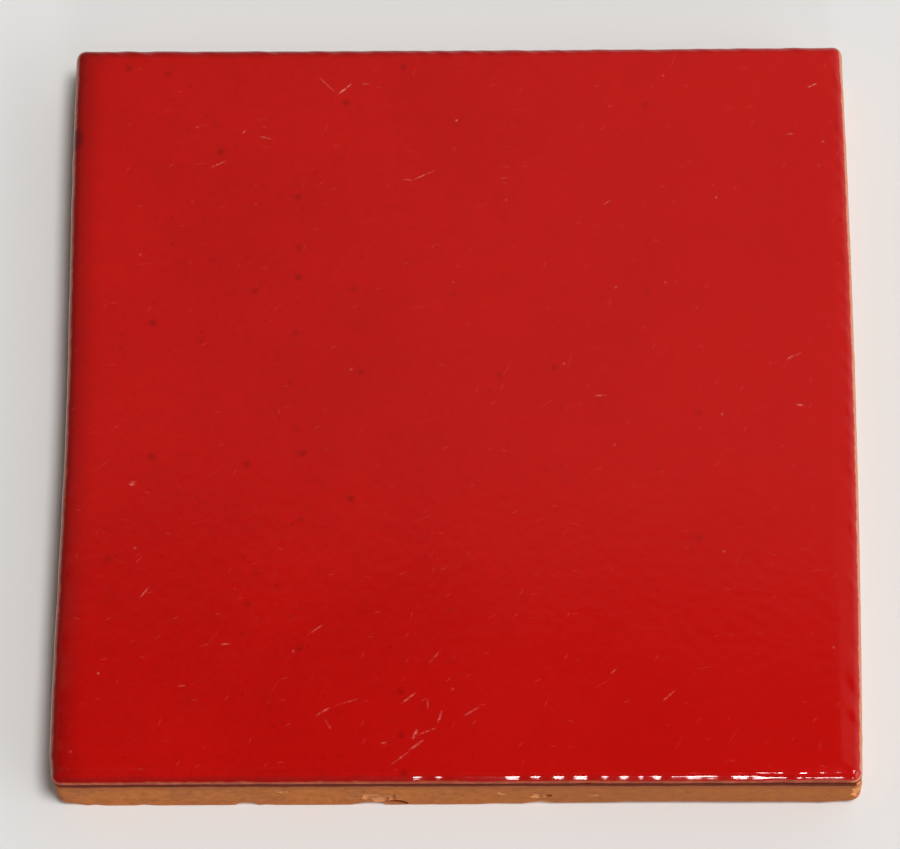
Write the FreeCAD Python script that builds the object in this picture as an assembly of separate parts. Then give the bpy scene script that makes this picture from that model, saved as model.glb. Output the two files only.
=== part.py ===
import FreeCAD, Part
import os
from collections import namedtuple

# A square floor tile of fired red clay, with a red glaze fused over its face and its upper edges.
# Millimetres, +Z up. The origin is on the underside, at the middle of the overall size.
# X runs along the front side, and +Y from the front side to the back side.

Vector = FreeCAD.Vector

# Overall size, over the lip of the glaze
width = 150.0
depth = 150.0
thickness = 15.0

# How far the middle of each side stands out from the line between its corners, inwards where negative
bow_left = -0.85
bow_right = 0.75
bow_front = -0.1
bow_back = -0.2

# Rounding of the four corners in plan, over the lip
corner_radius = 2.0

# Edges of the clay: the arris under the glaze, and the foot round the underside
arris_radius = 1.55
foot_radius = 0.5

# Glaze: its thickness, and how far it runs down the sides below the arris
glaze_thickness = 0.25
glaze_run = 0.6

# The rolled lip along the glaze's lower edge: how far it stands out, its roundings and the flat between
lip_stand = 0.1
lip_radius = 0.32
lip_flat = 0.12

# Chips broken out of the front edge of the foot. middle is the place along X, width the length along
# the edge, height the reach up the side, and reach how far the chip goes in under the tile
Chip = namedtuple("Chip", "middle width height reach")
left_chip = Chip(middle=-39.0, width=4.8, height=2.0, reach=0.9)
long_chip = Chip(middle=-14.4, width=12.8, height=1.8, reach=0.8)
tall_flake = Chip(middle=-14.0, width=7.2, height=8.0, reach=0.9)
deep_notch = Chip(middle=-11.2, width=4.0, height=3.2, reach=1.5)
small_flake = Chip(middle=15.2, width=7.4, height=4.8, reach=0.5)

# The long stretch of the same edge that is worn back
worn_stretch = Chip(middle=48.0, width=116.0, height=2.0, reach=1.6)

# The sharp outline that every rounded one is drawn round: the middles of the four corner roundings.
# A side that bows outwards starts further in, so that its middle reaches the overall size
left = -width / 2 + corner_radius + max(bow_left, 0.0)
right = width / 2 - corner_radius - max(bow_right, 0.0)
front = -depth / 2 + corner_radius + max(bow_front, 0.0)
back = depth / 2 - corner_radius - max(bow_back, 0.0)

# The clay lies inside the glaze all round, and below it
clay_inset = lip_stand + glaze_thickness
clay_top = thickness - glaze_thickness


def side(start, end, bow):
    """One side of the sharp outline, an arc whose middle stands out by bow to the right of its way."""
    if bow == 0:
        return Part.LineSegment(start, end).toShape()
    along = (end - start).normalize()
    outward = Vector(along.y, -along.x, 0)
    middle = (start + end) * 0.5 + outward * bow
    return Part.Arc(start, middle, end).toShape()


def plan_block(inset, low, high):
    """The tile's plan, drawn in by inset all round, as a block from low to high with rounded corners."""
    front_left = Vector(left, front, low)
    front_right = Vector(right, front, low)
    back_right = Vector(right, back, low)
    back_left = Vector(left, back, low)
    sharp = Part.Wire([
        side(front_left, front_right, bow_front),
        side(front_right, back_right, bow_right),
        side(back_right, back_left, bow_back),
        side(back_left, front_left, bow_left),
    ])
    rounded = sharp.makeOffset2D(corner_radius - inset)
    return Part.Face(rounded).extrude(Vector(0, 0, high - low))


def round_rim(block, level, radius):
    """Rounds the edges that run round the block at one level."""
    rim = []
    for edge in block.Edges:
        box = edge.BoundBox
        if box.ZLength < 1e-6 and abs(box.ZMin - level) < 1e-6:
            rim.append(edge)
    return block.makeFillet(radius, rim)


def scoop(chip):
    """A ball that breaks the chip's width, height and reach out of the lower edge of the front side."""
    side_y = -depth / 2 + clay_inset + max(-bow_front, 0.0)
    half = chip.width / 2
    radius_on_side = (half ** 2 + chip.height ** 2) / (2 * chip.height)
    below = radius_on_side - chip.height
    forward = (half ** 2 - chip.reach ** 2) / (2 * chip.reach)
    radius = (radius_on_side ** 2 + forward ** 2) ** 0.5
    return Part.makeSphere(radius, Vector(chip.middle, side_y - forward, -below))


def clay_body():
    """The fired clay, with the arris that carries the glaze and the chipped foot edge."""
    body = plan_block(clay_inset, 0.0, clay_top)
    body = round_rim(body, clay_top, arris_radius)
    body = round_rim(body, 0.0, foot_radius)
    for chip in (left_chip, long_chip, tall_flake, deep_notch, small_flake, worn_stretch):
        body = body.cut(scoop(chip))
    return body


def glaze_coat(body):
    """The glaze, one coat over the face and arris of the body, ending on its sides in a rolled lip."""
    outer_arris = arris_radius + glaze_thickness
    low = thickness - outer_arris - glaze_run
    lip_top = low + 2 * lip_radius + lip_flat
    coat = plan_block(lip_stand, low, thickness)
    coat = round_rim(coat, thickness, outer_arris)
    lip = plan_block(0.0, low, lip_top)
    lip = round_rim(lip, low, lip_radius)
    lip = round_rim(lip, lip_top, lip_radius)
    return coat.fuse(lip).cut(body).removeSplitter()


body = clay_body()
os.makedirs("parts", exist_ok=True)
body.exportStep("parts/clay_body.step")
glaze_coat(body).exportStep("parts/glaze_coat.step")
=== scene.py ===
import math
import bmesh
import bpy
from mathutils import Matrix, Vector, noise


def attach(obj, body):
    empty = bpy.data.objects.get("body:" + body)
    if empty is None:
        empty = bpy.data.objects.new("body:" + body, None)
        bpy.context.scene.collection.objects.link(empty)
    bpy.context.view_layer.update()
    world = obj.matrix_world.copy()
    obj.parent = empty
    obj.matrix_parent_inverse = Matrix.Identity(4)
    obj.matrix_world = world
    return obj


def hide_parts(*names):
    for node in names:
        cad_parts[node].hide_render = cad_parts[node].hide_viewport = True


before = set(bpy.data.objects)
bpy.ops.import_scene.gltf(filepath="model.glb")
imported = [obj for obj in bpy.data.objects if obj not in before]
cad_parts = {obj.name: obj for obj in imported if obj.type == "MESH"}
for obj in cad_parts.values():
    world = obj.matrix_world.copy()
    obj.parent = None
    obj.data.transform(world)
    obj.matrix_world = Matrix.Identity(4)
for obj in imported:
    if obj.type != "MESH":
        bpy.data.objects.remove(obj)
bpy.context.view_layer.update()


# The clay body: one slab of red clay, pressed, dried and fired. Its sides came out of the kiln
# bowed, in on the left and out on the right, and its foot is rounded, worn and chipped along the
# front.
MM = 0.001
half = 75 * MM                      # to the outermost line of the tile, the glaze's lip
corner = 2.0 * MM                   # how the corners are rounded in plan, on that line
core = half - corner                # where the middles of the four corner roundings lie
bow_left, bow_right = -0.85 * MM, 0.75 * MM
bow_front, bow_back = -0.1 * MM, -0.2 * MM
clay_inset = 0.35 * MM
clay_top = 14.5 * MM                # just below the underside of the glaze
clay_arris = 2.0 * MM
foot_radius = 0.5 * MM

# The two left corners shrank in: front (-1) or back (1), how far, and how far off it fades out
left_corners = ((-1, 0.6 * MM, 6 * MM), (1, 0.5 * MM, 55 * MM))


def bowed(point):
    """The place of a point of the square tile once it has bowed and its left corners shrunk in."""
    along = min(1.0, (point.x / core) ** 2)
    across = min(1.0, (point.y / core) ** 2)
    x, y = point.x, point.y
    if x < 0:
        x -= bow_left * (1 - across) ** 3 * -x / half
    else:
        x -= bow_right * across * x / half
    if y < 0:
        y -= bow_front * (1 - along) * -y / half
    else:
        y += bow_back * (1 - along) * y / half
    for end, shrunk, fades in left_corners:
        from_corner = math.hypot(half + point.x, half - end * point.y)
        x += shrunk * max(0.0, 1 - from_corner / fades)
    return Vector((x, y, point.z))


def wavering(point, length):
    """A slow, even waver from -1 to 1 that repeats about once in the given length."""
    return noise.noise(point / length)


def share(value, start, length):
    """How much of a stretch a value has come through, from 0 at its start to 1 past its length."""
    return max(0.0, min(1.0, (value - start) / length))


bm = bmesh.new()
slab = Matrix.Diagonal((2 * (half - clay_inset), 2 * (half - clay_inset), clay_top, 1))
bmesh.ops.create_cube(bm, size=1.0, matrix=Matrix.Translation((0, 0, clay_top / 2)) @ slab)
upright = [e for e in bm.edges if abs(e.verts[0].co.z - e.verts[1].co.z) > MM]
bmesh.ops.bevel(bm, geom=upright, offset=corner - clay_inset, segments=10, profile=0.5,
                affect="EDGES", material=-1)
arris_edges = [e for e in bm.edges if min(v.co.z for v in e.verts) > clay_top - 0.01 * MM]
bmesh.ops.bevel(bm, geom=arris_edges, offset=clay_arris, segments=5, profile=0.5,
                affect="EDGES", material=-1)
foot = [e for e in bm.edges if max(v.co.z for v in e.verts) < 0.01 * MM]
bmesh.ops.bevel(bm, geom=foot, offset=foot_radius, segments=4, profile=0.5,
                affect="EDGES", material=-1)

# The sides are divided finely enough to waver. The top and the underside are opened for that, and
# then closed again, and rings round the underside keep its rim crisp
cuts_up, cuts_along, rim_rings, ring_width = 26, 260, 4, 0.27 * MM
caps = [f for f in bm.faces if abs(f.normal.z) > 0.99 and f.calc_area() > 0.01]
bmesh.ops.delete(bm, geom=caps, context="FACES_ONLY")
upright = [e for e in bm.edges if abs(e.verts[0].co.z - e.verts[1].co.z) > 5 * MM]
bmesh.ops.subdivide_edges(bm, edges=upright, cuts=cuts_up, use_grid_fill=True)
lengthwise = [e for e in bm.edges if e.calc_length() > 100 * MM]
bmesh.ops.subdivide_edges(bm, edges=lengthwise, cuts=cuts_along, use_grid_fill=True)
rims = [e for e in bm.edges if e.is_boundary]
bmesh.ops.holes_fill(bm, edges=rims, sides=0)
underside = min(bm.faces, key=lambda f: (f.calc_center_median().z, -f.calc_area()))
for ring in range(rim_rings):
    bmesh.ops.inset_region(bm, faces=[underside], thickness=ring_width, use_even_offset=True)

# The front of the foot is worn back along a stretch that starts right of the chips
worn_middle, worn_half = 48 * MM, 58 * MM
worn_height, worn_reach = 2.0 * MM, 1.6 * MM


def worn(point):
    """The point moved back on to the slope that wear has left along the front of the foot."""
    wear = 1 - ((point.x - worn_middle) / worn_half) ** 2
    ragged = 0.85 + 0.3 * wavering(point, 9 * MM)
    if wear <= 0:
        return point
    height, reach = worn_height * wear * ragged, worn_reach * wear * ragged
    into = point.y + half - clay_inset
    excess = 1 - point.z / height - into / reach
    if excess <= 0:
        return point
    return point + Vector((0, reach, height)) * excess * 0.5


def cornered(point):
    """The point moved where the front corners of the clay belly out and are rounded at the foot."""
    near = max(0.0, 1 - math.hypot(half - abs(point.x), half + point.y) / (7 * MM))
    outward = math.copysign(1, point.x)
    belly, rounded = (0.6 * MM, 1.7 * MM) if outward > 0 else (0.0, 1.5 * MM)
    belly *= near * (1 - share(point.z, 8.5 * MM, 3 * MM))
    rounded *= near * (1 - share(point.z, 0, 3.6 * MM)) ** 2
    return point + Vector((outward * (belly - rounded), 0.6 * rounded, 0))


# How far the pressed sides waver in, how rough they are, and how deep the foot's rim is nibbled
waver_depth, rough_depth, nibble_depth = 0.16 * MM, 0.05 * MM, 0.55 * MM
elsewhere = Vector((0.3, 0.1, 0))       # so that the nibbles don't follow the waver
bmesh.ops.recalc_face_normals(bm, faces=bm.faces)
bm.normal_update()
pushes = {}
for v in bm.verts:
    side = 1 - abs(v.normal.z)
    low = 1 - share(v.co.z, 0, 1.6 * MM)
    waver = waver_depth * (0.5 + 0.5 * wavering(v.co, 14 * MM))
    rough = rough_depth * (0.5 + 0.5 * wavering(v.co, 2.2 * MM))
    nibbled = nibble_depth * low * max(0.0, wavering(v.co + elsewhere, 3.5 * MM)) ** 2
    pushes[v] = v.normal * -(side * (waver + rough) + nibbled)
for v in bm.verts:
    on_ground = v.co.z < 0.01 * MM
    moved = v.co if on_ground else v.co + pushes[v]
    v.co = bowed(cornered(worn(moved)))
clay_mesh = bpy.data.meshes.new("clay")
bm.to_mesh(clay_mesh)
bm.free()
clay = bpy.data.objects.new("clay", clay_mesh)
bpy.context.scene.collection.objects.link(clay)

# Chips broken out of the front of the foot, in millimetres: middle along X, width, height up the
# side and reach under the tile, and how ragged the break is. A knock leaves a rounded hollow
chips = (
    (-39.0, 4.8, 2.0, 0.9, 0.05),
    (-14.4, 12.8, 2.0, 1.5, 0.006),
    (-11.4, 4.2, 3.0, 1.9, 0.05),
    (15.4, 10.0, 2.6, 0.6, 0.006),
)

# Flakes split off the front, each as the corners of its break, in millimetres: place along X,
# height and depth. The last two are the scar down the right corner. Their walls are jagged
flakes = (
    ((-17.5, 1.9, 0.2), (-17.2, 5.7, 0.8), (-14.2, 6.0, 1.0),
     (-10.2, 6.6, 0.9), (-10.4, 5.4, 0.7), (-12.6, 2.2, 0.3)),
    ((13.5, 4.2, 0.15), (13.9, 6.3, 0.55), (16.9, 6.2, 0.55), (16.5, 4.4, 0.15)),
    ((-33.7, 9.5, 0.4), (-33.3, 8.5, 0.3), (-30.8, 7.0, 0.3), (-30.4, 7.7, 0.5)),
    ((7.6, 5.6, 0.15), (7.9, 6.9, 0.4), (8.9, 6.7, 0.4), (8.7, 5.5, 0.15)),
    ((24.4, 4.4, 0.15), (24.8, 6.2, 0.5), (26.1, 6.0, 0.5), (25.9, 4.2, 0.15)),
    ((72.4, 9.2, 0.3), (75.2, 9.8, 1.7), (75.2, 4.6, 1.9), (73.2, 4.0, 0.5)),
    ((73.1, 12.2, 0.7), (74.9, 12.0, 1.6), (74.5, 10.0, 1.7), (73.3, 10.2, 0.8)),
)
noise.seed_set(2)
jag_sizes, flake_cuts = (1.8 * MM, 0.7 * MM), 9
bm = bmesh.new()
for outline in flakes:
    before = set(bm.verts)
    mouth = bm.faces.new([bm.verts.new((x * MM, -half - MM, z * MM)) for x, z, depth in outline])
    drawn = bmesh.ops.extrude_face_region(bm, geom=[mouth], use_keep_orig=True)["geom"]
    for v in (g for g in drawn if isinstance(g, bmesh.types.BMVert)):
        nearest = min(outline, key=lambda c: math.hypot(c[0] * MM - v.co.x, c[1] * MM - v.co.z))
        v.co.y = -half + clay_inset + (0.1 + nearest[2]) * MM
    ends = [mouth] + [g for g in drawn if isinstance(g, bmesh.types.BMFace)]
    bmesh.ops.poke(bm, faces=ends)
    own_edges = [e for e in bm.edges if e.verts[0] not in before]
    bmesh.ops.subdivide_edges(bm, edges=own_edges, cuts=flake_cuts, use_grid_fill=True)
    for v in bm.verts:
        if v not in before:
            coarse, fine = (noise.noise_vector(v.co / size) for size in jag_sizes)
            jag = coarse + 0.4 * fine
            v.co += Vector((0.4 * jag.x, 0.12 * jag.y, 0.3 * jag.z)) * MM
for middle, width, height, reach, ragged in chips:
    radius_on_side = (width ** 2 / 4 + height ** 2) / (2 * height)
    forward = (width ** 2 / 4 - reach ** 2) / (2 * reach)
    radius = math.hypot(radius_on_side, forward) * MM
    side_y = -half + clay_inset - bow_front * (1 - (middle * MM / core) ** 2)
    centre = Vector((middle * MM, side_y - forward * MM, (height - radius_on_side) * MM))
    ball = bmesh.ops.create_icosphere(
        bm, subdivisions=6, radius=radius, matrix=Matrix.Translation(centre))
    for v in ball["verts"]:
        out = (v.co - centre).normalized()
        v.co += out * radius * ragged * (wavering(v.co, 2.4 * MM) + 0.5 * wavering(v.co, 0.9 * MM))
bmesh.ops.recalc_face_normals(bm, faces=bm.faces)
cutter_mesh = bpy.data.meshes.new("knocks")
bm.to_mesh(cutter_mesh)
bm.free()
cutter = bpy.data.objects.new("knocks", cutter_mesh)
bpy.context.scene.collection.objects.link(cutter)


def add(nodes, kind, inputs=None, **settings):
    """Adds a node, and gives each named input its value or the socket that feeds it."""
    made = nodes.new(kind)
    for name, value in settings.items():
        setattr(made, name, value)
    for name, value in (inputs or {}).items():
        if isinstance(value, bpy.types.NodeSocket):
            nodes.id_data.links.new(value, made.inputs[name])
        else:
            made.inputs[name].default_value = value
    return made


def figure(nodes, operation, first, second=0.0):
    """A sum, product or the like of two values."""
    return add(nodes, "ShaderNodeMath", {0: first, 1: second}, operation=operation).outputs[0]


def ramp(nodes, value, start, end, low=0.0, high=1.0):
    """The value taken smoothly from low, where it is start, to high, where it is end."""
    inputs = {"Value": value, 1: start, 2: end, 3: low, 4: high}
    smooth = {"interpolation_type": "SMOOTHSTEP", "clamp": False}
    return add(nodes, "ShaderNodeMapRange", inputs, **smooth).outputs[0]


def tinted(nodes, much, base, tint):
    """The base colour with so much of the tint laid over it."""
    return add(nodes, "ShaderNodeMix", {0: much, 6: base, 7: tint}, data_type="RGBA").outputs[2]


def grain(nodes, place, scale, detail=2.0, rough=0.5):
    """A noise of so many waves to the metre, from 0 to 1."""
    inputs = {"Vector": place, "Scale": scale, "Detail": detail, "Roughness": rough}
    return add(nodes, "ShaderNodeTexNoise", inputs).outputs[0]


def cells(nodes, place, scale, dimensions="3D"):
    """Scattered points, so many to the metre. Gives the nearest's distance, colour and position."""
    inputs = {"Vector": place, "Scale": scale, "Randomness": 1.0}
    return add(nodes, "ShaderNodeTexVoronoi", inputs, voronoi_dimensions=dimensions).outputs


def vector(nodes, operation, first, second):
    """A sum, product or the like of two vectors."""
    made = add(nodes, "ShaderNodeVectorMath", {0: first, 1: second}, operation=operation)
    return made.outputs[0]


def feed(material, **sockets):
    """Feeds the sockets of a material's shader, each named with _ for a space."""
    shader = material.node_tree.nodes["Principled BSDF"]
    for label, value in sockets.items():
        material.node_tree.links.new(value, shader.inputs[label.replace("_", " ")])


def effect(name, inputs, outputs):
    """An empty node group, from its inputs' first values and the names of its outputs."""
    group = bpy.data.node_groups.new(name, "ShaderNodeTree")
    for label, value in inputs.items():
        kind = {float: "NodeSocketFloat", tuple: "NodeSocketVector"}[type(value)]
        socket = group.interface.new_socket(label, in_out="INPUT", socket_type=kind)
        socket.default_value = value
    for label in outputs:
        group.interface.new_socket(label, in_out="OUTPUT", socket_type="NodeSocketFloat")
    given = group.nodes.new("NodeGroupInput").outputs
    return group, given, group.nodes.new("NodeGroupOutput").inputs


# Fired clay: fine grit with open pores, and grains of sand that show pale
grit, given, out = effect(
    "fired_grit", {"Place": (0.0, 0.0, 0.0), "Coarseness": 1.0}, ("Height", "Pores", "Sand"))
n = grit.nodes
spread = add(n, "ShaderNodeVectorMath", {0: given["Place"], "Scale": given["Coarseness"]},
             operation="SCALE").outputs[0]
fine = grain(n, spread, 2600, 3, 0.6)
coarse = grain(n, spread, 700, 2, 0.5)
pore = cells(n, spread, 620.0)["Distance"]
pore = figure(n, "MULTIPLY", ramp(n, pore, 0.26, 0.1), ramp(n, coarse, 0.5, 0.62))
sand = cells(n, spread, 480.0)
chosen = add(n, "ShaderNodeSeparateColor", {0: sand["Color"]}).outputs[0]
sand = figure(n, "MULTIPLY", ramp(n, sand["Distance"], 0.24, 0.12), ramp(n, chosen, 0.72, 0.8))
height = figure(n, "ADD", figure(n, "MULTIPLY", fine, 0.45), figure(n, "MULTIPLY", coarse, 0.55))
height = figure(n, "SUBTRACT", height, figure(n, "MULTIPLY", pore, 0.5))
for label, value in (("Height", height), ("Pores", pore), ("Sand", sand)):
    grit.links.new(value, out[label])


def gritty(material, place, coarseness, depth):
    """Places the grit in a material, so coarse and so deep. Gives its outputs and its bump."""
    n = material.node_tree.nodes
    texture = add(n, "ShaderNodeGroup", {}, node_tree=grit)
    material.node_tree.links.new(place, texture.inputs["Place"])
    texture.inputs["Coarseness"].default_value = coarseness
    raised = {"Height": texture.outputs["Height"], "Distance": depth, "Strength": 1.0}
    return texture.outputs, add(n, "ShaderNodeBump", raised).outputs[0]


def fired_clay(name, warm, dull, red, coarseness, depth):
    """A fired clay of three shades, with its grit so coarse and so deep. Gives nodes to add to."""
    material = bpy.data.materials.new(name)
    material.use_nodes = True
    n = material.node_tree.nodes
    place = add(n, "ShaderNodeTexCoord").outputs["Object"]
    texture, bump = gritty(material, place, coarseness, depth)
    colour = tinted(n, ramp(n, grain(n, place, 70, 3), 0.38, 0.64), warm, dull)
    colour = tinted(n, ramp(n, grain(n, place, 260, 3, 0.6), 0.5, 0.72, 0, 0.6), colour, red)
    mottled = grain(n, place, 520, 3, 0.6)
    colour = tinted(n, ramp(n, mottled, 0.3, 0.5, 0.30, 0), colour, (0.20, 0.055, 0.015, 1))
    colour = tinted(n, ramp(n, mottled, 0.5, 0.7, 0, 0.30), colour, (0.66, 0.24, 0.07, 1))
    # Painted shade: the grit's hollows are darkened towards black and its pores darkened
    shaded_hollows = ramp(n, texture["Height"], 0.3, 0.62, 0.22, 0)
    shaded_pores = figure(n, "MULTIPLY", texture["Pores"], 0.35)
    sand = figure(n, "MULTIPLY", texture["Sand"], 0.14)
    colour = tinted(n, shaded_hollows, colour, (0, 0, 0, 1))
    colour = tinted(n, shaded_pores, colour, (0.08, 0.025, 0.01, 1))
    colour = tinted(n, sand, colour, (0.7, 0.34, 0.14, 1))
    shader = n["Principled BSDF"]
    shader.inputs["Roughness"].default_value = 0.85
    shader.inputs["Specular IOR Level"].default_value = 0.15
    feed(material, Normal=bump)
    return material, n, place, colour


# The skin of the sides: darker to the right, burnt under the glaze with painted shade there, a band
# of painted shadow below that, and rubbed warm along the foot
clay_skin, n, place, colour = fired_clay(
    "clay_skin", warm=(0.54, 0.170, 0.036, 1), dull=(0.46, 0.146, 0.040, 1),
    red=(0.51, 0.132, 0.031, 1), coarseness=1.0, depth=0.12 * MM)
axes = add(n, "ShaderNodeSeparateXYZ", {0: place})
waver = figure(n, "MULTIPLY", grain(n, place, 240, 3, 0.6), 1.3 * MM)
level = figure(n, "ADD", axes.outputs[2], waver)
rightward = ramp(n, axes.outputs[0], -10 * MM, 20 * MM, 0, 0.45)
# A band of painted shadow a little below the glaze's lip, and above it the dark stain deepened by
# painted shade
under_lip_painted_shadow = ramp(n, level, 9.2 * MM, 10.8 * MM, 0, 0.6)
burnt_and_shaded = ramp(n, level, 11.3 * MM, 11.9 * MM, 0, 0.95)
rubbed = ramp(n, level, 2.6 * MM, 1.1 * MM, 0, 0.5)
colour = tinted(n, rightward, colour, (0.40, 0.120, 0.030, 1))
colour = tinted(n, under_lip_painted_shadow, colour, (0.36, 0.100, 0.034, 1))
colour = tinted(n, burnt_and_shaded, colour, (0.13, 0.014, 0.003, 1))
colour = tinted(n, rubbed, colour, (0.54, 0.165, 0.04, 1))
feed(clay_skin, Base_Color=colour)

# The break inside a chip: brighter, yellower and coarser than the skin
clay_break, n, place, colour = fired_clay(
    "clay_break", warm=(0.76, 0.32, 0.12, 1), dull=(0.68, 0.27, 0.105, 1),
    red=(0.64, 0.215, 0.08, 1), coarseness=0.8, depth=0.2 * MM)
feed(clay_break, Base_Color=colour)

# The knocks are taken out of the slab, and the breaks keep their own material and a crisp edge
clay.data.materials.append(clay_skin)
clay.data.materials.append(clay_break)
cutter.data.materials.append(clay_break)
knock = clay.modifiers.new("knocks", "BOOLEAN")
knock.object = cutter
knock.operation = "DIFFERENCE"
knock.solver = "MANIFOLD"
knock.material_mode = "TRANSFER"
bpy.context.view_layer.update()
with_knocks = clay.evaluated_get(bpy.context.evaluated_depsgraph_get())
chipped = bpy.data.meshes.new_from_object(with_knocks)
clay.modifiers.clear()
clay.data = chipped
bpy.data.objects.remove(cutter)
bm = bmesh.new()
bm.from_mesh(chipped)
for f in bm.faces:
    f.smooth = True
for e in bm.edges:
    e.smooth = len({f.material_index for f in e.link_faces}) < 2
bm.to_mesh(chipped)
bm.free()
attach(clay, "root")
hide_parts("clay_body")


# The glaze: one coat of red glass, fused over the face and the arris. It pooled flat on the face,
# drew thin over the arris, where the clay shows through it, and ran down into a dark lip.
top = 15 * MM
lip_stand, glaze_run = 0.1 * MM, 0.6 * MM
arris = 1.8 * MM
flat = core + corner - lip_stand - arris       # half the flat part of the face
columns = 160

bm = bmesh.new()
past = bm.verts.layers.float.new("past_arris")  # millimetres along the surface past the face's edge
bmesh.ops.create_grid(bm, x_segments=columns, y_segments=columns, size=1.0)
side_length = core + corner * math.pi / 4       # half a side, with half of each corner
for v in bm.verts:
    u, w = v.co.x, v.co.y
    ring = max(abs(u), abs(w))
    if ring < 1e-6:
        v.co = Vector((0, 0, top))
        v[past] = -flat / MM
        continue
    along = min(abs(u), abs(w)) / ring * side_length
    turn = max(0.0, along - core) / corner
    long_way = core + (flat - core) * math.cos(turn)
    short_way = min(along, core) + (flat - core) * math.sin(turn)
    if abs(u) >= abs(w):
        place = (math.copysign(long_way, u), math.copysign(short_way, w))
    else:
        place = (math.copysign(short_way, u), math.copysign(long_way, w))
    v.co = Vector((place[0] * ring, place[1] * ring, top))
    v[past] = (ring - 1) * flat / MM

# The section of the coat beyond the face, as stand from the corner roundings' middles, level, and
# millimetres gone round: the arris, the lip, the fold under it, and the underside on the clay
section = []
for step in range(1, 15):
    tilt = math.radians(5.8 * step)
    stand, level = flat - core + arris * math.sin(tilt), top - arris * (1 - math.cos(tilt))
    section.append((stand, level, arris * tilt / MM))
low = top - arris - glaze_run
section += [
    (corner - 0.06 * MM, low + 0.76 * MM, 2.7),
    (corner - 0.02 * MM, low + 0.60 * MM, 2.9),
    (corner, low + 0.44 * MM, 3.1),
    (corner, low + 0.30 * MM, 3.25),
    (corner - 0.04 * MM, low + 0.16 * MM, 3.4),
    (corner - 0.13 * MM, low + 0.05 * MM, 3.55),
    (corner - 0.26 * MM, low, 3.7),
    (corner - 0.45 * MM, low + 0.02 * MM, 3.9),
    (corner - 0.55 * MM, low + 0.2 * MM, 4.1),
    (corner - 0.62 * MM, top - 1.7 * MM, 5.0),
    (corner - 0.85 * MM, top - 1.15 * MM, 5.5),
    (corner - 1.3 * MM, top - 0.75 * MM, 6.0),
    (corner - 1.9 * MM, top - 0.55 * MM, 6.5),
]
bmesh.ops.subdivide_edges(bm, edges=[e for e in bm.edges if e.is_boundary], cuts=2)
rim = [e for e in bm.edges if e.is_boundary]
for stand, level, gone in section:
    drawn = bmesh.ops.extrude_edge_only(bm, edges=rim)["geom"]
    for v in (g for g in drawn if isinstance(g, bmesh.types.BMVert)):
        middle = Vector((max(-core, min(core, v.co.x)), max(-core, min(core, v.co.y)), 0))
        outward = (Vector((v.co.x, v.co.y, 0)) - middle).normalized()
        v.co = middle + outward * stand + Vector((0, 0, level))
        v[past] = gone
    rim = [g for g in drawn if isinstance(g, bmesh.types.BMEdge)]
bmesh.ops.holes_fill(bm, edges=rim, sides=0)
bmesh.ops.recalc_face_normals(bm, faces=bm.faces)

# The glass isn't flat: it sags in slow waves over the face, falls off a little towards the edges,
# and lies along the arris in short slanted beads. Depths are in millimetres
bead_length, bead_slant, bead_depth = 2.8, 0.8, 0.2

# How the beads come and go along the front: from where on X, over what length, and how much more
front_beads = ((-8, 3, 0.95), (-2, 3, -0.95), (9, 3, 0.95), (25, 4, -0.4), (55, 4, 1.3))

# At the front the arris is a little flattened round this tilt, both in radians
flat_depth, flat_tilt, flat_spread = 0.21, 0.806, 0.8


def eased(part):
    """The same part from 0 to 1, with a smooth start and end."""
    return part * part * (3 - 2 * part)


bm.normal_update()
sunk = {}
for v in bm.verts:
    level_place = Vector((v.co.x, v.co.y, 0))
    slow = 0.5 + 0.5 * wavering(level_place + Vector((0, 0, 0.02)), 52 * MM)
    mid = 0.5 + 0.5 * wavering(level_place + Vector((0, 0, 0.05)), 17 * MM)
    fall = eased(share(v[past], -3.2, 4.2))
    face = 0.12 * slow + 0.02 * mid + 0.1 * fall
    round_side, up = (v.co.x + v.co.y) / MM, -v[past]
    slanted = Vector((round_side - bead_slant * up, 0.2 * up, 7.0))
    beads = 0.5 + 0.5 * wavering(slanted, bead_length)
    beaded = bead_depth
    if v.co.y < -core:
        beaded *= 0.1 + sum(more * share(v.co.x / MM, start, length)
                            for start, length, more in front_beads)
    edge = eased(share(v[past], -1.8, 2.4)) * (1 - 0.6 * share(v[past], 2.3, 0.6))
    off_tilt = v[past] * MM / arris - flat_tilt
    flattened = 0.0
    if v.normal.y < 0 and abs(off_tilt) < flat_spread:
        frontal = v.normal.y ** 2 / max(1e-9, v.normal.x ** 2 + v.normal.y ** 2)
        flattened = flat_depth * frontal * math.cos(off_tilt / flat_spread * math.pi / 2) ** 2
        flattened *= 1 - 0.7 * share(v.co.x / MM, 55, 4)
    on_outside = 1 - share(v[past], 3.6, 0.3)
    inwards = face * (1 - 0.6 * edge) + edge * beaded * beads + flattened
    sunk[v] = v.normal * -inwards * on_outside * MM

# The lip wanders up and down a little as it goes round
lip_wander, lip_middle = 0.3 * MM, 3.4
for v in bm.verts:
    drop = 0.0
    if 2.4 < v[past] < 4.2:
        on_lip = max(0.0, 1 - abs(v[past] - lip_middle))
        drop = on_lip * lip_wander * wavering(Vector((v.co.x, v.co.y, 0.2)), 4.5 * MM)
    v.co = bowed(v.co + sunk[v] + Vector((0, 0, drop)))
# Faces past this go to the lip, whose near-black is partly painted shade
burnt_and_shaded_from = 2.75
for f in bm.faces:
    f.smooth = True
    f.material_index = int(sum(v[past] for v in f.verts) / len(f.verts) > burnt_and_shaded_from)
glaze_mesh = bpy.data.meshes.new("glaze")
bm.to_mesh(glaze_mesh)
bm.free()
glaze = bpy.data.objects.new("glaze", glaze_mesh)
bpy.context.scene.collection.objects.link(glaze)

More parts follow.
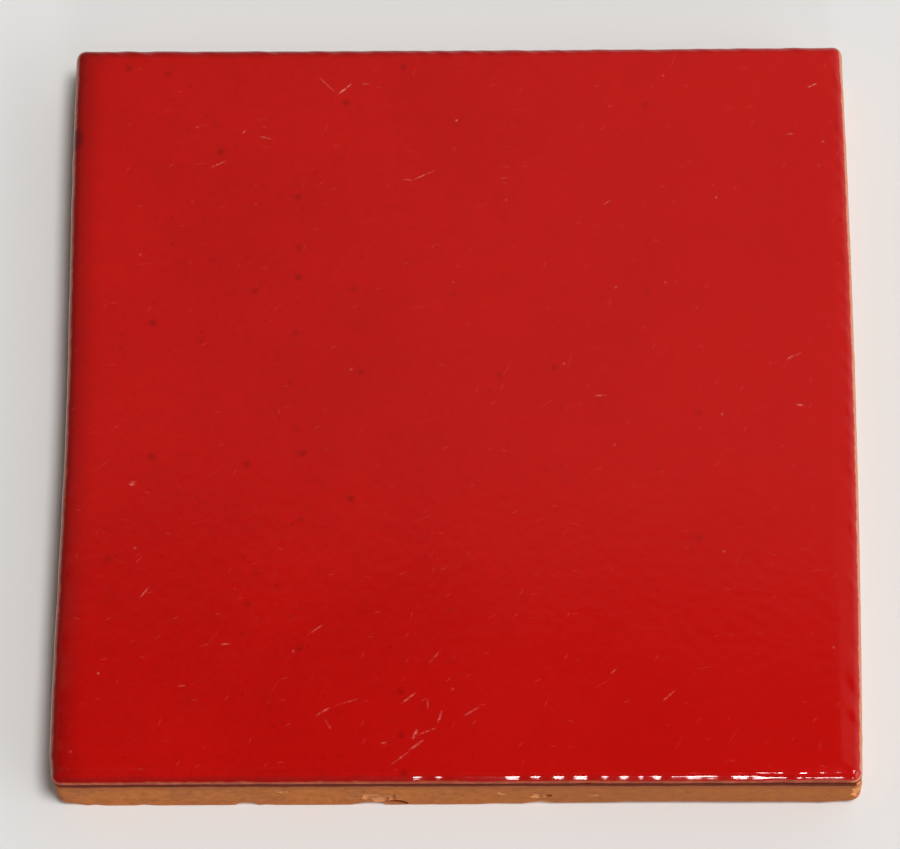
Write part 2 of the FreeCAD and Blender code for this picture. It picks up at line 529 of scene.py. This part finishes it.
red_glass = bpy.data.materials.new("red_glass")
red_glass.use_nodes = True
n = red_glass.node_tree.nodes
place = add(n, "ShaderNodeTexCoord").outputs["Object"]
past_arris = add(n, "ShaderNodeAttribute", {}, attribute_name="past_arris").outputs["Fac"]
facing = add(n, "ShaderNodeNewGeometry").outputs["Normal"]
upward = add(n, "ShaderNodeSeparateXYZ", {0: facing}).outputs[2]
on_face = vector(n, "MULTIPLY", place, (1 / MM, 1 / MM, 0))

# Scratches and knocks on the face, in millimetres: start, end, width and strength
scratches = (
    (-23.6, 64.4, -20.5, 67.0, 0.34, 0.95), (-27.9, 69.1, -23.5, 64.6, 0.26, 0.30),
    (-18.9, 66.7, -17.2, 66.9, 0.30, 0.30), (-41.7, 56.2, -41.0, 57.2, 0.34, 0.40),
    (-38.9, 55.8, -35.6, 55.0, 0.34, 0.30), (-47.9, 49.0, -44.3, 50.7, 0.30, 0.50),
    (-11.1, 46.4, -8.5, 46.2, 0.28, 0.35), (-9.1, 46.1, -3.9, 48.6, 0.28, 0.55),
    (-0.8, 58.8, -0.1, 58.9, 0.40, 0.60), (7.7, 46.4, 9.6, 46.7, 0.40, 0.30),
    (27.6, 40.8, 29.4, 42.1, 0.28, 0.55), (48.9, 42.1, 49.5, 42.4, 0.50, 0.80),
    (67.0, 65.4, 69.2, 66.5, 0.36, 0.80), (62.6, 55.5, 64.5, 55.7, 0.34, 0.35),
    (-27.9, -46.5, -24.2, -43.9, 0.30, 0.40), (-26.1, -62.2, -23.0, -60.3, 0.36, 0.45),
    (-22.9, -60.3, -17.4, -58.6, 0.26, 0.35), (-24.3, -62.6, -22.9, -64.9, 0.38, 0.40),
    (-10.4, -59.9, -7.3, -57.5, 0.32, 0.75), (-5.4, -58.7, -5.3, -61.1, 0.26, 0.30),
    (-2.7, -61.0, -3.6, -63.9, 0.40, 0.65), (-3.3, -64.3, -7.4, -66.0, 0.30, 0.45),
    (-7.2, -64.6, -8.1, -66.9, 0.50, 0.70), (-8.9, -68.9, -5.7, -66.6, 0.40, 0.65),
    (-12.2, -71.7, -8.5, -68.9, 0.30, 0.50), (1.0, -62.4, 4.4, -60.3, 0.30, 0.40),
    (-14.2, -67.5, -12.6, -67.2, 0.30, 0.35), (-2.7, -49.1, -5.4, -52.2, 0.28, 0.35),
    (-59.3, -39.4, -56.9, -36.4, 0.28, 0.50), (-66.4, -53.8, -65.8, -53.6, 0.42, 0.60),
    (-47.6, -48.4, -45.7, -48.1, 0.34, 0.40), (-43.9, -48.1, -41.8, -48.0, 0.34, 0.45),
    (-51.7, -56.3, -49.8, -56.1, 0.34, 0.40), (37.7, -59.5, 40.1, -57.3, 0.32, 0.65),
    (28.1, -54.2, 29.4, -53.1, 0.28, 0.35), (61.8, 8.4, 63.7, 9.6, 0.36, 0.50),
    (63.4, 9.2, 64.9, 10.0, 0.28, 0.35), (63.4, -0.7, 65.3, -0.9, 0.40, 0.60),
    (-61.6, -16.4, -60.0, -15.7, 0.70, 1.00), (25.3, 1.3, 28.5, 1.4, 0.28, 0.50),
    (-59.8, -32.0, -58.6, -30.6, 0.28, 0.30),
)


def streak(nodes, place):
    """A mark that fades from 1 at the origin of the place to 0 at a distance of 1."""
    made = add(nodes, "ShaderNodeTexGradient", {"Vector": place}, gradient_type="SPHERICAL")
    return made.outputs["Fac"]


marks = 0.0
for x1, y1, x2, y2, width, strength in scratches:
    mark = add(n, "ShaderNodeMapping", {
        "Vector": on_face,
        "Location": ((x1 + x2) / 2, (y1 + y2) / 2, 0),
        "Rotation": (0, 0, math.atan2(y2 - y1, x2 - x1)),
        "Scale": (math.hypot(x2 - x1, y2 - y1) / 2, width * 0.75, 1),
    }, vector_type="TEXTURE")
    mark = streak(n, mark.outputs[0])
    marks = figure(n, "MAXIMUM", marks, figure(n, "MULTIPLY", mark, strength))
broken = ramp(n, grain(n, place, 1500, 2, 0.7), 0.36, 0.62, 0.15, 1.5)
marks = figure(n, "MULTIPLY", marks, broken)

# Hairlines too fine to place one by one, one to a cell and mostly slanting the same way. In
# millimetres: cells to the metre, length and width, the share of cells left bare, and strength
hairlines = ((95.0, 5.0, 0.26, 0.55, 0.11), (240.0, 1.6, 0.34, 0.60, 0.16))
for to_metre, length, width, bare, strength in hairlines:
    cell = cells(n, place, to_metre, "2D")
    off = vector(n, "SUBTRACT", place, cell["Position"])
    chance = add(n, "ShaderNodeSeparateColor", {0: cell["Color"]})
    slant = figure(n, "MULTIPLY_ADD", chance.outputs[0], -1.7)
    slant.node.inputs[2].default_value = 0.4
    turn = {"Vector": off, "Angle": slant}
    lie = add(n, "ShaderNodeVectorRotate", turn, rotation_type="Z_AXIS").outputs[0]
    line = streak(n, vector(n, "MULTIPLY", lie, (2 / length / MM, 2 / width / MM, 0)))
    weight = figure(n, "GREATER_THAN", chance.outputs[1], bare)
    weight = figure(n, "MULTIPLY", weight, chance.outputs[2])
    line = figure(n, "MULTIPLY", figure(n, "MULTIPLY", line, weight), strength)
    marks = figure(n, "MAXIMUM", marks, line)

# Pale dots where bubbles have opened, and dark specks in the glass, thickest on its left
dots = cells(n, place, 100.0, "2D")
chosen = add(n, "ShaderNodeSeparateColor", {0: dots["Color"]}).outputs[0]
pale = figure(n, "MULTIPLY", ramp(n, dots["Distance"], 0.04, 0.008), ramp(n, chosen, 0.84, 0.97))
pale = figure(n, "MULTIPLY", pale, 0.25)
across, backward = add(n, "ShaderNodeSeparateXYZ", {0: place}).outputs[:2]
dark = 0.0
for to_metre, bare_right, bare_left in ((110.0, 0.93, 0.52), (330.0, 1.05, 0.82)):
    specks = cells(n, place, to_metre, "2D")
    chosen = add(n, "ShaderNodeSeparateColor", {0: specks["Color"]})
    few = ramp(n, across, 45 * MM, -45 * MM, bare_right, bare_left)
    speck = ramp(n, specks["Distance"], 0.13, 0.0)
    speck = figure(n, "MULTIPLY", speck, figure(n, "GREATER_THAN", chosen.outputs[0], few))
    dark = figure(n, "MAXIMUM", dark, figure(n, "MULTIPLY", speck, chosen.outputs[1]))

# The colour, from the pooled face to the thin arris and its burnt edge, darkened with painted
# shade.
# The glass thins high up the arris on the left, lower on the right, and lowest at the front
cloudy = ramp(n, grain(n, place, 45, 3), 0.35, 0.65)
mottled = ramp(n, grain(n, place, 180, 4, 0.65), 0.45, 0.72, 0, 0.22)
grainy = ramp(n, grain(n, place, 900, 2), 0.4, 0.7, 0, 0.15)
colour = tinted(n, cloudy, (0.475, 0.0026, 0.0014, 1), (0.505, 0.0034, 0.0019, 1))
colour = tinted(n, mottled, colour, (0.36, 0.0022, 0.0014, 1))
colour = tinted(n, grainy, colour, (0.3, 0.002, 0.001, 1))
colour = tinted(n, figure(n, "MULTIPLY", dark, 0.62), colour, (0.16, 0.002, 0.001, 1))
start = ramp(n, across, -72 * MM, 72 * MM, 1.12, 1.42)
start = figure(n, "MAXIMUM", start, ramp(n, backward, -71.5 * MM, -73.2 * MM, 0.0, 1.95))
ragged = figure(n, "MULTIPLY", grain(n, place, 420, 3, 0.6), 1.1)
ragged = figure(n, "SUBTRACT", ragged, 0.55)
edge = figure(n, "SUBTRACT", figure(n, "ADD", past_arris, ragged), start)
bank = ramp(n, edge, -2.0, -0.3, 0, 0.6)
colour = tinted(n, bank, colour, (0.20, 0.002, 0.001, 1))
colour = tinted(n, ramp(n, across, -50 * MM, 75 * MM, 0, 0.5), colour, (0.56, 0.0036, 0.0022, 1))
# Painted shade: a dark band inside the left edge, which lies away from the light
left_edge_painted_shade = ramp(n, across, -66.5 * MM, -73.5 * MM)
left_edge_painted_shade = figure(n, "MULTIPLY", left_edge_painted_shade, ramp(n, past_arris, -6.0, 0.0, 0, 0.5))
colour = tinted(n, left_edge_painted_shade, colour, (0.15, 0.001, 0.0005, 1))

# Where the glass is thin the clay shows through; along the right it is made paler as painted light.
# One dark run on the left edge covers it, and at the lip the clay is burnt and darkened by painted
# shade
thin = ramp(n, edge, -0.15, 0.3)
run = add(n, "ShaderNodeMapping", {
    "Vector": on_face, "Location": (-74.2, 55.4, 0.0), "Scale": (1.9, 2.3, 1.0)},
    vector_type="TEXTURE").outputs[0]
run = add(n, "ShaderNodeVectorMath", {0: run}, operation="LENGTH").outputs["Value"]
run = ramp(n, figure(n, "ADD", run, figure(n, "MULTIPLY", ragged, 0.5)), 1.3, 0.6)
thin = figure(n, "MULTIPLY", thin, figure(n, "SUBTRACT", 1.0, run))
dusty = ramp(n, grain(n, place, 500, 2), 0.4, 0.65)
shown_clay = tinted(n, dusty, (0.29, 0.036, 0.008, 1), (0.38, 0.065, 0.020, 1))
# Painted light: the clay showing along the lit right rim is made paler
right_painted_light = ramp(n, across, 71 * MM, 73.5 * MM, 0, 0.8)
shown_clay = tinted(n, right_painted_light, shown_clay, (0.70, 0.22, 0.08, 1))
colour = tinted(n, thin, colour, shown_clay)
# The lip's dark line: burnt clay and dark glass, with painted shade added
burnt_and_shaded = figure(n, "ADD", past_arris, figure(n, "MULTIPLY", ragged, 0.4))
colour = tinted(n, ramp(n, burnt_and_shaded, 2.72, 2.95), colour, (0.09, 0.010, 0.003, 1))
colour = tinted(n, figure(n, "MULTIPLY", run, 0.8), colour, (0.13, 0.001, 0.001, 1))

# Scratches and dots show pale and dull, and only on the face
scarred = figure(n, "MAXIMUM", marks, pale)
scarred = figure(n, "MULTIPLY", scarred, ramp(n, upward, 0.8, 0.95))
colour = tinted(n, figure(n, "MULTIPLY", scarred, 0.75), colour, (0.80, 0.24, 0.20, 1))
roughness = ramp(n, grain(n, place, 60, 3), 0.35, 0.7, 0.05, 0.085)
roughness = figure(n, "ADD", roughness, figure(n, "MULTIPLY", scarred, 0.4))
peel = {"Height": grain(n, place, 420, 1), "Distance": 0.012 * MM, "Strength": 1.0}
bump = add(n, "ShaderNodeBump", peel).outputs[0]
n["Principled BSDF"].inputs["IOR"].default_value = 1.5
feed(red_glass, Base_Color=colour, Roughness=roughness, Normal=bump)
glaze.data.materials.append(red_glass)

# The burnt edge of the lip, where the glass ends: nearly black, partly its own dark glass and
# partly painted shade, dull, and broken by the clay's grit
burnt_and_shaded_lip = bpy.data.materials.new("burnt_and_shaded_lip")
burnt_and_shaded_lip.use_nodes = True
n = burnt_and_shaded_lip.node_tree.nodes
place = add(n, "ShaderNodeTexCoord").outputs["Object"]
texture, bump = gritty(burnt_and_shaded_lip, place, coarseness=1.0, depth=0.05 * MM)
dark_mottle = ramp(n, grain(n, place, 350, 3, 0.6), 0.42, 0.68)
colour = tinted(n, dark_mottle, (0.10, 0.007, 0.001, 1), (0.16, 0.020, 0.003, 1))
roughness = ramp(n, texture["Height"], 0.3, 0.7, 0.5, 0.7)
n["Principled BSDF"].inputs["Specular IOR Level"].default_value = 0.03
feed(burnt_and_shaded_lip, Base_Color=colour, Roughness=roughness, Normal=bump)
glaze.data.materials.append(burnt_and_shaded_lip)
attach(glaze, "root")
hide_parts("glaze_coat")


# The studio: a plain pale floor, a pale wall all round that darkens overhead, and three soft lamps.
# The floor and the wall aren't part of the tile
bm = bmesh.new()
bmesh.ops.create_grid(bm, x_segments=1, y_segments=1, size=6.0)
floor_mesh = bpy.data.meshes.new("floor")
bm.to_mesh(floor_mesh)
bm.free()
floor = bpy.data.objects.new("floor", floor_mesh)
bpy.context.scene.collection.objects.link(floor)
floor_paint = bpy.data.materials.new("floor_paint")
floor_paint.use_nodes = True
n = floor_paint.node_tree.nodes
place = add(n, "ShaderNodeTexCoord").outputs["Object"]
tone = tinted(n, grain(n, place, 6, 2), (0.76, 0.755, 0.745, 1), (0.80, 0.795, 0.785, 1))
feed(floor_paint, Base_Color=tone)
n["Principled BSDF"].inputs["Roughness"].default_value = 0.9
floor.data.materials.append(floor_paint)

world = bpy.data.worlds.new("studio_wall")
bpy.context.scene.world = world
world.use_nodes = True
n = world.node_tree.nodes
way = add(n, "ShaderNodeTexCoord").outputs["Generated"]
rightward, backward, upward = add(n, "ShaderNodeSeparateXYZ", {0: way}).outputs
far_right = figure(n, "MAXIMUM", figure(n, "SUBTRACT", rightward, 0.1), 0.0)
rise = figure(n, "ADD", upward, figure(n, "MULTIPLY", rightward, -0.03))
rise = figure(n, "SUBTRACT", rise, figure(n, "MULTIPLY", far_right, 0.4))
above_left = ramp(n, rightward, 0.04, -0.12, 0, 0.6)
overhead = ramp(n, rise, 0.925, 0.945)
beside = figure(n, "MULTIPLY", ramp(n, rightward, 0.12, 0.2, 0, 0.3), ramp(n, upward, 0.93, 0.89))
left_wall = ramp(n, rightward, -0.15, -0.6, 0, 0.6)
front_wall = ramp(n, backward, -0.1, -0.6, 0, 0.9)
wall = tinted(n, ramp(n, rise, 0.1, 0.75), (0.85, 0.85, 0.85, 1), (0.28, 0.262, 0.235, 1))
wall = tinted(n, above_left, wall, (0.10, 0.10, 0.09, 1))
wall = tinted(n, overhead, wall, (0.05, 0.05, 0.05, 1))
wall = tinted(n, beside, wall, (0.7, 0.7, 0.7, 1))
wall = tinted(n, left_wall, wall, (0.12, 0.12, 0.12, 1))
wall = tinted(n, front_wall, wall, (0.05, 0.05, 0.05, 1))
n["Background"].inputs["Strength"].default_value = 1.0
world.node_tree.links.new(wall, n["Background"].inputs["Color"])


def sun(name, azimuth, elevation, spread, strength):
    """A far lamp, so many degrees round from the front to the right, so many up and so wide."""
    lamp = bpy.data.lights.new(name, "SUN")
    lamp.energy = strength
    lamp.angle = math.radians(spread)
    stand = bpy.data.objects.new(name, lamp)
    bpy.context.scene.collection.objects.link(stand)
    a, e = math.radians(azimuth), math.radians(elevation)
    towards = Vector((math.sin(a) * math.cos(e), -math.cos(a) * math.cos(e), math.sin(e)))
    stand.rotation_euler = towards.to_track_quat("Z", "Y").to_euler()


sun("key", 55, 74, 14, 1.93)
sun("front", 5.2, 19, 8.5, 0.46)
sun("fill", 58, 20, 50, 0.9)

# The camera, as the photograph was taken: from above and in front, with a long lens. The lens is
# given in pixels of a picture 900 wide
focal_pixels, picture_width, sensor_width = 4967.1, 900, 36
elevation, yaw, roll = math.radians(67.692), math.radians(-2.979), math.radians(-2.984)
aim = Vector((-1.473, -4.474, 15.0)) * MM
distance = 932.7 * MM
level_ahead = math.cos(elevation)
ahead = Vector((math.sin(yaw) * level_ahead, math.cos(yaw) * level_ahead, -math.sin(elevation)))
right = Vector((math.cos(yaw), -math.sin(yaw), 0))
above = right.cross(ahead)
turned_right = right * math.cos(roll) + above * math.sin(roll)
turned_above = above * math.cos(roll) - right * math.sin(roll)
camera = bpy.data.objects.new("camera", bpy.data.cameras.new("camera"))
bpy.context.scene.collection.objects.link(camera)
camera.data.sensor_width = sensor_width
camera.data.lens = focal_pixels * sensor_width / picture_width
camera.data.clip_start, camera.data.clip_end = 0.01, 50
place = Matrix((turned_right, turned_above, -ahead)).transposed().to_4x4()
place.translation = aim - ahead * distance
camera.matrix_world = place
bpy.context.scene.camera = camera
bpy.context.scene.view_settings.view_transform = "Standard"
